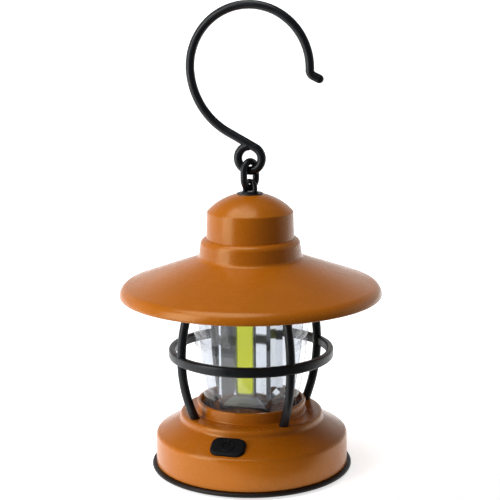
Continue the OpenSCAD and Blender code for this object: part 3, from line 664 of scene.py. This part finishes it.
def cut_out(obj, bm):
    """Cuts a mesh out of a finished piece."""
    mesh = bpy.data.meshes.new("cutter")
    bm.to_mesh(mesh)
    bm.free()
    cutter = bpy.data.objects.new("cutter", mesh)
    bpy.context.scene.collection.objects.link(cutter)
    modifier = obj.modifiers.new("cut", "BOOLEAN")
    modifier.operation = "DIFFERENCE"
    modifier.solver = "EXACT"
    modifier.object = cutter
    bpy.context.view_layer.update()
    graph = bpy.context.evaluated_depsgraph_get()
    cut = bpy.data.meshes.new_from_object(obj.evaluated_get(graph))
    obj.modifiers.clear()
    old, obj.data = obj.data, cut
    bpy.data.meshes.remove(old)
    bpy.data.objects.remove(cutter)
    bpy.data.meshes.remove(mesh)


def build_button():
    """The rubber push button: a soft-edged pad with the raised on-off sign."""
    pad_foot, stem_foot, flange_foot = -0.05, -2.3, -3.0
    edge = ((0.55, 0.0), (0.38, 0.05), (0.2, 0.18), (0.08, 0.4), (0.02, 0.75), (0, 1.2), (0, 1.9))
    steps = [(pad_foot, 0.0)] + [(BUTTON_PROUD - drop, inset) for drop, inset in edge]
    pad = loft([
        (z, rounded_rect(BUTTON_W - 2 * inset, BUTTON_H - 2 * inset, BUTTON_CORNER - inset))
        for z, inset in steps
    ], on_slope())
    stem_line, flange_line = rounded_rect(STEM_W, STEM_H, 2), rounded_rect(11, 6.8, 2.5)
    stem = loft([(stem_foot, stem_line), (0.1, stem_line)], on_slope())
    flange = loft([(flange_foot, flange_line), (stem_foot, flange_line)], on_slope())
    sign_z, sign_r, line = BUTTON_PROUD + 0.02, 1.9, 0.25
    ring = [(x, y, sign_z) for x, y in arc((0, -0.15), sign_r, 122, 418, 8)]
    bar = [(0, y / 10, sign_z) for y in range(2, 22, 3)]
    marks = [sweep(path, line, sides=12, ends=("round", "round")) for path in (ring, bar)]
    for mark in marks:
        bmesh.ops.transform(mark, matrix=on_slope(), verts=mark.verts)
    whole = joined(pad, stem, flange, *marks)
    piece("button_pad", whole, "button", MATERIALS["button_rubber"], ["push_button"], 50)


def build_rim_ring():
    """The rubber bead round the foot, with a tongue in the cover's groove."""
    inner, outer, low, high = COVER_R + 0.05, BEAD_R, *BEAD_Z
    tongue, groove_low, groove_high = 30.75, 1.05, 1.65
    outline = filleted([
        (inner, low, 0.15), (outer, low, 0.72), (outer, high, 0.72), (inner, high, 0.15),
        (inner, groove_high), (tongue, groove_high), (tongue, groove_low), (inner, groove_low),
    ], 10)
    piece("rim_bead", lathe(outline), "cover", MATERIALS["rim_rubber"], ["rim_ring"])


build_shade()
build_grommet()
build_top_eye()
build_link()
build_hook()
build_cage()
build_chimney()
build_base()
build_button()
build_rim_ring()
ease("crown_plate", 0.15)
ease("reflector", 0.12)
for node in ("phosphor_front", "phosphor_rear"):
    ease(node, 0.25, 40, 3)
ease("bottom_cover", 0.2)

# ---- Floor, light and camera ----

ROOM_TURN, ROOM_DIM, ROOM_BRIGHT = -12, 0.15, 0.65
KEY_AZIMUTH, KEY_HEIGHT, KEY_DISTANCE, KEY_SIZE, KEY_POWER = -46, 0.30, 0.75, (0.44, 0.80), 5.5
SKY_AIM, SKY_SPREAD, SKY_POWER = (0.22, 0.17, -1), 48, 1.85


def build_floor():
    """A pale table that ends a little way in front of the lantern."""
    radius, front, turn = 6.0, 0.05, radians(42)
    middle = (-(radius - front) * sin(turn), (radius - front) * cos(turn), -0.0002)
    bpy.ops.mesh.primitive_circle_add(vertices=256, radius=radius, fill_type="NGON", location=middle)
    floor = bpy.context.object
    floor.name = "floor"
    p = Paint("floor_paper", roughness=0.9, emission_color=(1, 1, 1, 1), emission_strength=0.68)
    p.colour(p.noise(8, 3), (0.3, (0.93, 0.93, 0.93)), (0.7, (0.95, 0.95, 0.95)))
    floor.data.materials.append(p.material)


def area_light(name, azimuth, height, distance, size, power):
    """A soft box at an azimuth counted from the front, aimed at the lantern's middle."""
    target_z = 0.07
    data = bpy.data.lights.new(name, "AREA")
    data.shape = "RECTANGLE"
    data.size, data.size_y = size
    data.energy = power
    obj = bpy.data.objects.new(name, data)
    a = radians(azimuth)
    obj.location = (distance * sin(a), -distance * cos(a), height)
    obj.rotation_euler = (Vector((0, 0, target_z)) - obj.location).to_track_quat("-Z", "Y").to_euler()
    bpy.context.scene.collection.objects.link(obj)


def build_lights():
    """A bright sweep behind the lantern, a dim room in front, a soft box on the left and a soft sky."""
    world = bpy.data.worlds.new("studio")
    bpy.context.scene.world = world
    world.use_nodes = True
    tree = world.node_tree
    new, link = tree.nodes.new, tree.links.new
    turn = new("ShaderNodeMapping")
    turn.inputs["Rotation"].default_value = (0, 0, radians(ROOM_TURN))
    split = new("ShaderNodeSeparateXYZ")
    link(new("ShaderNodeTexCoord").outputs["Generated"], turn.inputs["Vector"])
    link(turn.outputs["Vector"], split.inputs["Vector"])

    def grade(value, low, high, out_low, out_high):
        node = map_range(tree, value, low, high, out_low, out_high)
        node.interpolation_type = "SMOOTHSTEP"
        return node.outputs["Result"]

    sweep_light = new("ShaderNodeMath")
    sweep_light.operation = "MULTIPLY_ADD"
    behind, low = (-0.3, 0.35), (0.25, 0.7)
    link(grade(split.outputs["Y"], *behind, 0, 1), sweep_light.inputs[0])
    link(grade(split.outputs["Z"], *low, ROOM_BRIGHT, 0), sweep_light.inputs[1])
    sweep_light.inputs[2].default_value = ROOM_DIM
    link(sweep_light.outputs["Value"], tree.nodes["Background"].inputs["Strength"])
    tree.nodes["Background"].inputs["Color"].default_value = (1, 1, 1, 1)
    seen = new("ShaderNodeBackground")
    seen.inputs["Color"].default_value = (1, 1, 1, 1)
    mix = new("ShaderNodeMixShader")
    link(new("ShaderNodeLightPath").outputs["Is Camera Ray"], mix.inputs["Fac"])
    link(tree.nodes["Background"].outputs["Background"], mix.inputs[1])
    link(seen.outputs["Background"], mix.inputs[2])
    link(mix.outputs["Shader"], tree.nodes["World Output"].inputs["Surface"])
    area_light("key_strip", KEY_AZIMUTH, KEY_HEIGHT, KEY_DISTANCE, KEY_SIZE, KEY_POWER)
    sky = bpy.data.lights.new("sky", "SUN")
    sky.angle = radians(SKY_SPREAD)
    sky.energy = SKY_POWER
    overhead = bpy.data.objects.new("sky", sky)
    overhead.rotation_euler = Vector(SKY_AIM).to_track_quat("-Z", "Y").to_euler()
    bpy.context.scene.collection.objects.link(overhead)


def build_camera():
    """A long lens a little to the right of the front and a little above."""
    azimuth, elevation, roll = 16.0, 11.38, -0.4
    distance, sensor, lens = 0.450, 36, 96.8904
    data = bpy.data.cameras.new("camera")
    data.sensor_width = sensor
    data.lens = lens
    data.clip_start, data.clip_end = 0.01, 50
    camera = bpy.data.objects.new("camera", data)
    a, e = radians(azimuth), radians(elevation)
    back = Vector((sin(a) * cos(e), -cos(a) * cos(e), sin(e)))
    aim = Vector((0, 0, 0.07507)) - Vector((cos(a), sin(a), 0)) * 0.00014
    camera.location = aim + back * distance
    turn = (-back).to_track_quat("-Z", "Y").to_matrix() @ Matrix.Rotation(radians(roll), 3, "Z")
    camera.rotation_euler = turn.to_euler()
    bpy.context.scene.collection.objects.link(camera)
    bpy.context.scene.camera = camera


build_floor()
build_lights()
build_camera()
bpy.context.scene.view_settings.view_transform = "Standard"
